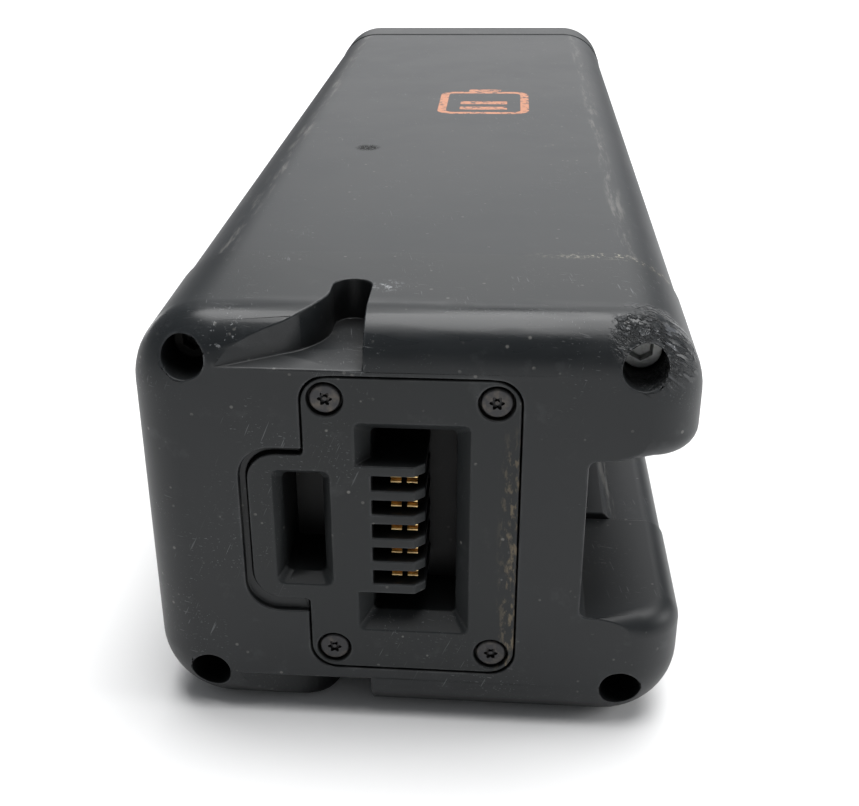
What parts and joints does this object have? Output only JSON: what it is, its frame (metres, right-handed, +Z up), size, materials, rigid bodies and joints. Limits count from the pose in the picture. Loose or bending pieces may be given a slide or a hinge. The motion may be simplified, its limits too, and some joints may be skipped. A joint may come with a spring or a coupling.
{
  "type": "scooter battery pack",
  "caption": "Long swappable battery pack with rounded end caps, a side rail channel, locking ramps, a blade connector behind a screwed cover and a folding rear handle.",
  "frame": {"origin": "middle of the face the pack lies on, at mid-width and mid-length", "axes": "+X to the side with the rail channel, +Y from the connector end to the handle end, +Z up"},
  "size_m": [0.1036, 0.332, 0.0855],
  "materials": {
    "body_plastic": "satin dark blue-grey moulding, scuffed",
    "cap_plastic": "satin near-black moulding with a worn, polished rim",
    "cover_plastic": "matt near-black moulding",
    "handle_plastic": "fine-textured dark grey moulding",
    "seal_rubber": "matt black",
    "zinc_steel": "zinc plated",
    "black_steel": "blackened, rubbed bright at its edges",
    "contact_brass": "bright",
    "carrier_plastic": "matt black",
    "cell_sleeve": "blue shrink sleeve over a can",
    "holder_plastic": "matt grey",
    "nickel_strip": "bright nickel",
    "board_green": "green solder mask",
    "red_insulation": "silicone sleeve",
    "black_insulation": "silicone sleeve"
  },
  "bodies": {
    "pack": {"main_housing": "body_plastic", "front_cap": "cap_plastic", "rear_cap": "cap_plastic", "front_gasket": "seal_rubber", "rear_gasket": "seal_rubber", "connector_cover": "cover_plastic", "connector_gasket": "seal_rubber", "cover_screw_1": "black_steel", "cover_screw_2": "black_steel", "cover_screw_3": "black_steel", "cover_screw_4": "black_steel", "front_cap_screw_1": "zinc_steel", "front_cap_screw_2": "zinc_steel", "front_cap_screw_3": "zinc_steel", "front_cap_screw_4": "zinc_steel", "rear_cap_screw_1": "zinc_steel", "rear_cap_screw_2": "zinc_steel", "rear_cap_screw_3": "zinc_steel", "rear_cap_screw_4": "zinc_steel", "contact_clip_1": "contact_brass", "contact_clip_2": "contact_brass", "contact_clip_3": "contact_brass", "contact_clip_4": "contact_brass", "contact_clip_5": "contact_brass", "contact_carrier": "carrier_plastic", "cell_group_01": "cell_sleeve", "cell_group_02": "cell_sleeve", "cell_group_03": "cell_sleeve", "cell_group_04": "cell_sleeve", "cell_group_05": "cell_sleeve", "cell_group_06": "cell_sleeve", "cell_group_07": "cell_sleeve", "cell_group_08": "cell_sleeve", "cell_group_09": "cell_sleeve", "cell_group_10": "cell_sleeve", "cell_group_11": "cell_sleeve", "cell_group_12": "cell_sleeve", "cell_group_13": "cell_sleeve", "cell_holder_left": "holder_plastic", "cell_holder_right": "holder_plastic", "nickel_left_1": "nickel_strip", "nickel_left_2": "nickel_strip", "nickel_left_3": "nickel_strip", "nickel_left_4": "nickel_strip", "nickel_left_5": "nickel_strip", "nickel_left_6": "nickel_strip", "nickel_left_7": "nickel_strip", "nickel_right_1": "nickel_strip", "nickel_right_2": "nickel_strip", "nickel_right_3": "nickel_strip", "nickel_right_4": "nickel_strip", "nickel_right_5": "nickel_strip", "nickel_right_6": "nickel_strip", "nickel_right_7": "nickel_strip", "bms_board": "board_green", "positive_lead": "red_insulation", "negative_lead": "black_insulation", "cell_lead": "red_insulation", "handle_pivot_rod": "zinc_steel"},
    "handle": {"handle": "handle_plastic"}
  },
  "joints": [
    {"name": "handle_fold", "type": "hinge", "parent": "pack", "child": "handle", "pos_m": [-0.005, 0.159, 0.063], "axis": [1, 0, 0], "range_deg": [0, 100]}
  ]
}
